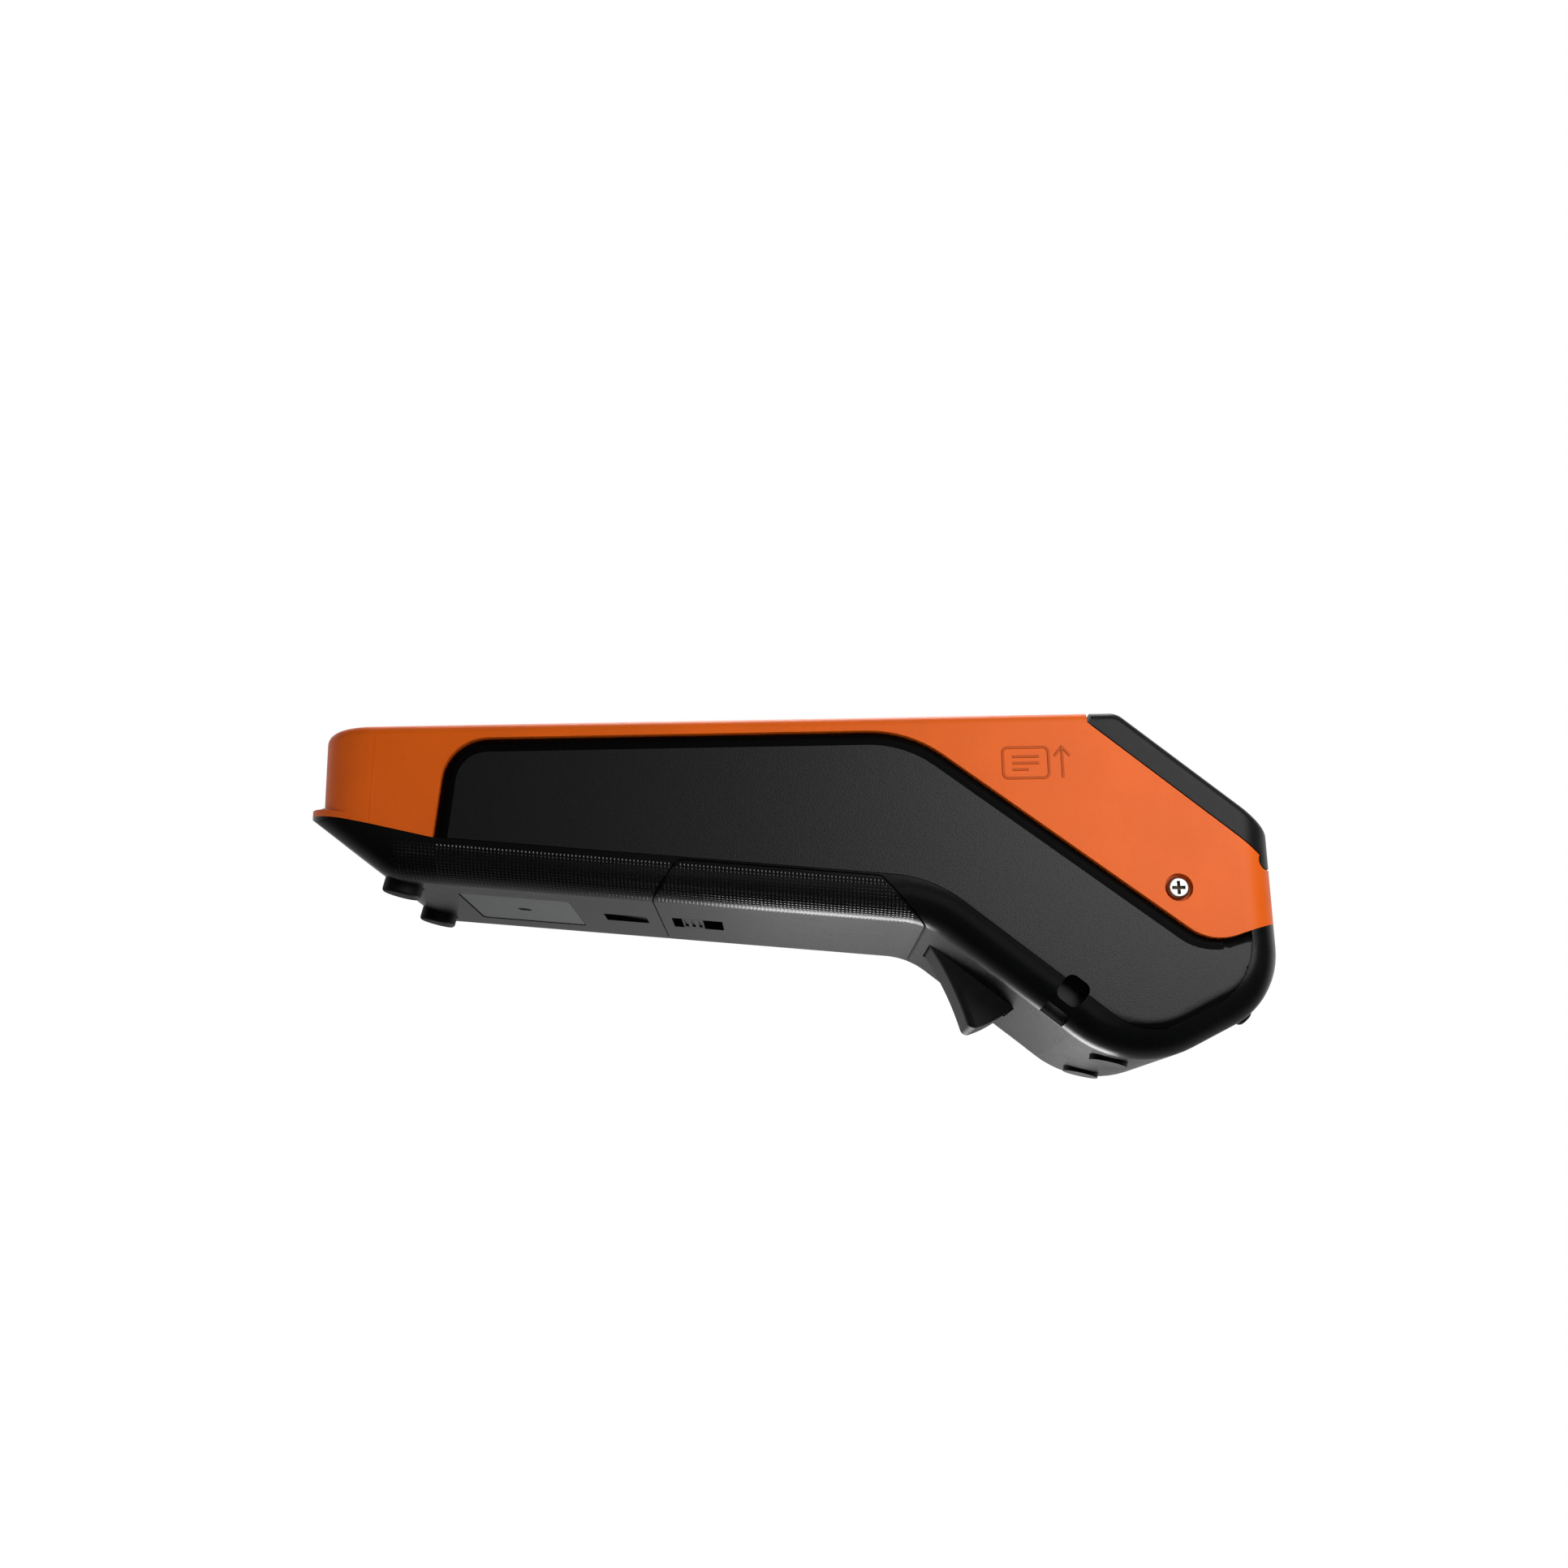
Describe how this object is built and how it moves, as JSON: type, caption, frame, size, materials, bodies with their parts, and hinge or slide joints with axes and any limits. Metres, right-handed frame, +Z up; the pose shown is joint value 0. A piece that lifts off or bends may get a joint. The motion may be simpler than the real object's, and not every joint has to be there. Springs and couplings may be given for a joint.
{
  "type": "label maker",
  "caption": "Handheld label maker with a keypad and display on top, a hinged lid over the label roll, a finger trigger under the neck and a battery bay in the grip.",
  "frame": {"origin": "on the table under the middle of the length, between the feet and the belly pads", "axes": "+X from the end wall to the nose, +Y to the left side seen from the end wall, +Z up; resting on feet and pads"},
  "size_m": [0.2372, 0.076, 0.0814],
  "materials": {
    "orange": "satin moulded plastic",
    "black": "satin moulded plastic with a fine cross-hatched grain",
    "panel": "fine spark-eroded grain, matte",
    "lid": "satin moulded plastic",
    "key": "soft-touch key cap",
    "key_accent": "soft-touch key cap, orange",
    "window": "clear hard-coated acrylic",
    "display": "grey-green liquid crystal panel",
    "board": "green solder mask",
    "steel": "turned steel",
    "spring": "wound spring steel",
    "nickel": "bright nickel plating",
    "sheet": "zinc-plated sheet, passivated grey",
    "head": "glazed ceramic print head",
    "gear": "natural white gear plastic",
    "brass": "turned brass",
    "rubber": "moulded rubber",
    "platen": "ground silicone rubber",
    "paper": "coated label paper",
    "card": "wound card core",
    "inner": "plain moulded plastic",
    "plate": "smooth blank film plate, grey",
    "cell": "shrink sleeve, dark blue grey",
    "contact": "gold-flashed spring leaf"
  },
  "bodies": {
    "housing": {"upper_shell": "orange", "lower_shell": "black", "side_panel_right": "panel", "side_panel_left": "panel", "hinge_pin": "steel", "display_window": "window", "display_module": "display", "main_board": "board", "board_screws": "nickel", "print_frame": "sheet", "print_head": "head", "head_springs": "spring", "motor": "sheet", "idler_pin": "steel", "tear_bar": "steel", "spindle_cradles": "inner", "trigger_pin": "steel", "trigger_spring": "spring", "trigger_switch": "inner", "battery_tray": "inner", "battery_contacts": "contact", "strap_screws": "nickel", "front_feet": "rubber", "belly_pads": "rubber", "nose_bumpers": "rubber", "blank_plate": "plate", "buzzer": "inner", "label_sensor": "inner"},
    "lid": {"roll_lid": "lid", "platen_bushes": "brass"},
    "platen": {"platen_shaft": "steel", "platen_roller": "platen", "platen_gear": "gear"},
    "idler": {"idler_gear": "gear"},
    "pinion": {"motor_pinion": "brass"},
    "roll": {"label_roll": "paper", "roll_core": "card", "roll_spindle": "inner"},
    "trigger_lever": {"trigger": "black"},
    "battery": {"battery_cover": "black", "battery_pack": "cell"},
    "latch": {"battery_latch": "black"},
    "button_clear": {"key_clear": "key_accent"},
    "button_0": {"key_0": "key"},
    "button_enter": {"key_enter": "key_accent"},
    "button_7": {"key_7": "key"},
    "button_8": {"key_8": "key"},
    "button_9": {"key_9": "key"},
    "button_4": {"key_4": "key"},
    "button_5": {"key_5": "key"},
    "button_6": {"key_6": "key"},
    "button_1": {"key_1": "key"},
    "button_2": {"key_2": "key"},
    "button_3": {"key_3": "key"},
    "button_menu": {"key_menu": "key"},
    "button_feed": {"key_feed": "key"},
    "button_ok": {"key_ok": "key_accent"}
  },
  "joints": [
    {"name": "lid_open", "type": "hinge", "parent": "housing", "child": "lid", "pos_m": [0.11124, 0, 0.0541], "axis": [0, 1, 0], "range_deg": [0, 78]},
    {"name": "platen_spin", "type": "hinge", "parent": "lid", "child": "platen", "pos_m": [0.07056, 0, 0.07233], "axis": [0, 1, 0], "continuous": true},
    {"name": "idler_spin", "type": "hinge", "parent": "housing", "child": "idler", "pos_m": [0.0651, 0, 0.06095], "axis": [0, 1, 0], "continuous": true},
    {"name": "pinion_spin", "type": "hinge", "parent": "housing", "child": "pinion", "pos_m": [0.05655, 0, 0.05554], "axis": [0, 1, 0], "continuous": true},
    {"name": "roll_spin", "type": "hinge", "parent": "housing", "child": "roll", "pos_m": [0.08775, 0, 0.03172], "axis": [0, 1, 0], "continuous": true},
    {"name": "trigger_pull", "type": "hinge", "parent": "housing", "child": "trigger_lever", "pos_m": [0.04037, 0, 0.02528], "axis": [0, -1, 0], "range_deg": [0, 8], "stiffness_Nm_per_rad": 0.9, "springref_deg": -6.88},
    {"name": "battery_out", "type": "slide", "parent": "housing", "child": "battery", "axis": [0.1493, 0, -0.9888], "range_m": [0, 0.022]},
    {"name": "latch_slide", "type": "slide", "parent": "battery", "child": "latch", "axis": [0.9888, 0, 0.1493], "range_m": [0, 0.0024], "stiffness_N_per_m": 600, "springref_m": -0.001},
    {"name": "press_clear", "type": "slide", "parent": "housing", "child": "button_clear", "axis": [0.2476, 0, -0.9689], "range_m": [0, 0.001], "stiffness_N_per_m": 900, "springref_m": -0.0004},
    {"name": "press_0", "type": "slide", "parent": "housing", "child": "button_0", "axis": [0.2476, 0, -0.9689], "range_m": [0, 0.001], "stiffness_N_per_m": 900, "springref_m": -0.0004},
    {"name": "press_enter", "type": "slide", "parent": "housing", "child": "button_enter", "axis": [0.2476, 0, -0.9689], "range_m": [0, 0.001], "stiffness_N_per_m": 900, "springref_m": -0.0004},
    {"name": "press_7", "type": "slide", "parent": "housing", "child": "button_7", "axis": [0.2476, 0, -0.9689], "range_m": [0, 0.001], "stiffness_N_per_m": 900, "springref_m": -0.0004},
    {"name": "press_8", "type": "slide", "parent": "housing", "child": "button_8", "axis": [0.2476, 0, -0.9689], "range_m": [0, 0.001], "stiffness_N_per_m": 900, "springref_m": -0.0004},
    {"name": "press_9", "type": "slide", "parent": "housing", "child": "button_9", "axis": [0.2476, 0, -0.9689], "range_m": [0, 0.001], "stiffness_N_per_m": 900, "springref_m": -0.0004},
    {"name": "press_4", "type": "slide", "parent": "housing", "child": "button_4", "axis": [0.2476, 0, -0.9689], "range_m": [0, 0.001], "stiffness_N_per_m": 900, "springref_m": -0.0004},
    {"name": "press_5", "type": "slide", "parent": "housing", "child": "button_5", "axis": [0.2476, 0, -0.9689], "range_m": [0, 0.001], "stiffness_N_per_m": 900, "springref_m": -0.0004},
    {"name": "press_6", "type": "slide", "parent": "housing", "child": "button_6", "axis": [0.2476, 0, -0.9689], "range_m": [0, 0.001], "stiffness_N_per_m": 900, "springref_m": -0.0004},
    {"name": "press_1", "type": "slide", "parent": "housing", "child": "button_1", "axis": [0.2476, 0, -0.9689], "range_m": [0, 0.001], "stiffness_N_per_m": 900, "springref_m": -0.0004},
    {"name": "press_2", "type": "slide", "parent": "housing", "child": "button_2", "axis": [0.2476, 0, -0.9689], "range_m": [0, 0.001], "stiffness_N_per_m": 900, "springref_m": -0.0004},
    {"name": "press_3", "type": "slide", "parent": "housing", "child": "button_3", "axis": [0.2476, 0, -0.9689], "range_m": [0, 0.001], "stiffness_N_per_m": 900, "springref_m": -0.0004},
    {"name": "press_menu", "type": "slide", "parent": "housing", "child": "button_menu", "axis": [0.2476, 0, -0.9689], "range_m": [0, 0.001], "stiffness_N_per_m": 900, "springref_m": -0.0004},
    {"name": "press_feed", "type": "slide", "parent": "housing", "child": "button_feed", "axis": [0.2476, 0, -0.9689], "range_m": [0, 0.001], "stiffness_N_per_m": 900, "springref_m": -0.0004},
    {"name": "press_ok", "type": "slide", "parent": "housing", "child": "button_ok", "axis": [0.2476, 0, -0.9689], "range_m": [0, 0.001], "stiffness_N_per_m": 900, "springref_m": -0.0004}
  ],
  "couplings": [
    {"joint": "platen_spin", "follows": "roll_spin", "ratio": 4.8889},
    {"joint": "idler_spin", "follows": "roll_spin", "ratio": -3.8413},
    {"joint": "pinion_spin", "follows": "roll_spin", "ratio": 8.963}
  ]
}
